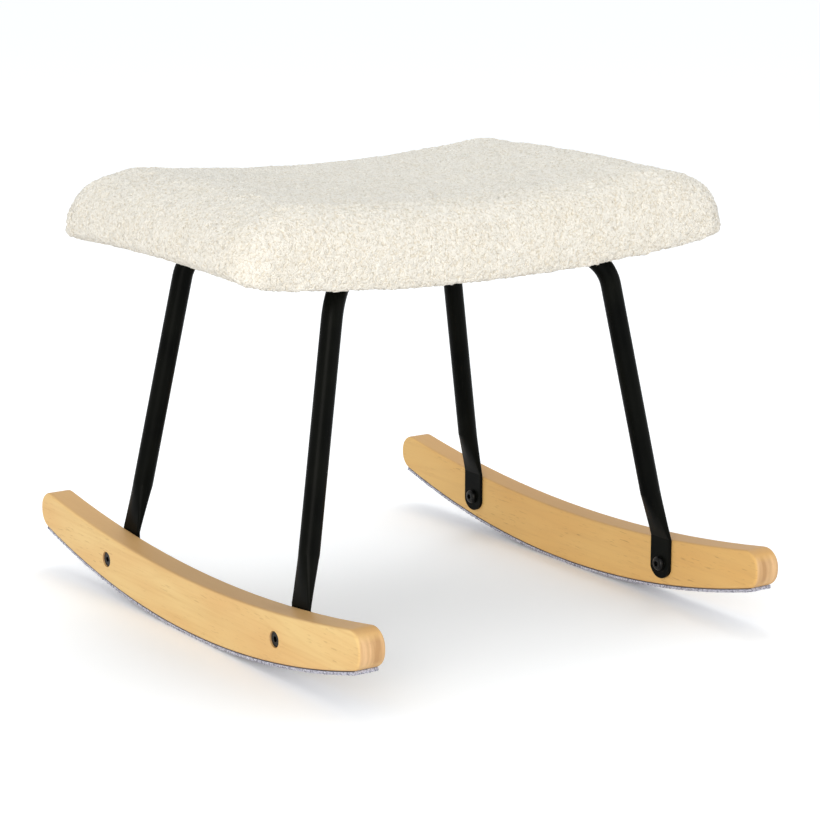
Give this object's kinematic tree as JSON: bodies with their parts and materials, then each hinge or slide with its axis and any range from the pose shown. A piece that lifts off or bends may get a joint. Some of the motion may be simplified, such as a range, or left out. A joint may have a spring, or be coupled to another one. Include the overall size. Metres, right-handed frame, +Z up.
{
  "type": "rocking footstool",
  "caption": "Rocking footstool: an upholstered saddle seat on crossed bent tubes, bolted to curved wooden rockers that roll on felt strips.",
  "frame": {"origin": "on the floor, under the middle of the stool, at its resting point", "axes": "+X from the left rocker to the right one, +Y along the rockers towards the rear, +Z up"},
  "size_m": [0.531, 0.576, 0.4109],
  "materials": {
    "rocker_wood": "solid light honey-coloured wood, satin lacquer",
    "felt": "grey-violet needle felt",
    "black_steel": "satin black powder coat",
    "black_screws": "black oxide",
    "zinc_steel": "bright zinc plate",
    "plywood": "moulded plywood, bare",
    "pine": "sawn softwood, bare",
    "foam": "cut upholstery foam",
    "upholstery": "looped cream boucle with a short curled pile",
    "dust_cloth": "thin black spun-bonded cloth"
  },
  "bodies": {
    "root": {"rocker_left": "rocker_wood", "rocker_right": "rocker_wood", "rocker_felt_left": "felt", "rocker_felt_right": "felt", "leg_tube_through": "black_steel", "leg_tube_front_right": "black_steel", "leg_tube_rear_left": "black_steel", "seat_plate_front_left": "black_steel", "seat_plate_front_right": "black_steel", "seat_plate_rear_left": "black_steel", "seat_plate_rear_right": "black_steel", "leg_bolts": "black_screws", "sleeve_nuts": "black_screws", "seat_bolts": "zinc_steel", "seat_washers": "zinc_steel", "tee_nuts": "zinc_steel", "seat_board": "plywood", "seat_rail_front": "pine", "seat_rail_rear": "pine", "seat_rail_left": "pine", "seat_rail_right": "pine", "rail_screws": "zinc_steel", "seat_foam": "foam", "seat_cover": "upholstery", "dust_cloth": "dust_cloth", "cover_staples": "zinc_steel", "dust_cloth_staples": "zinc_steel"}
  },
  "joints": []
}
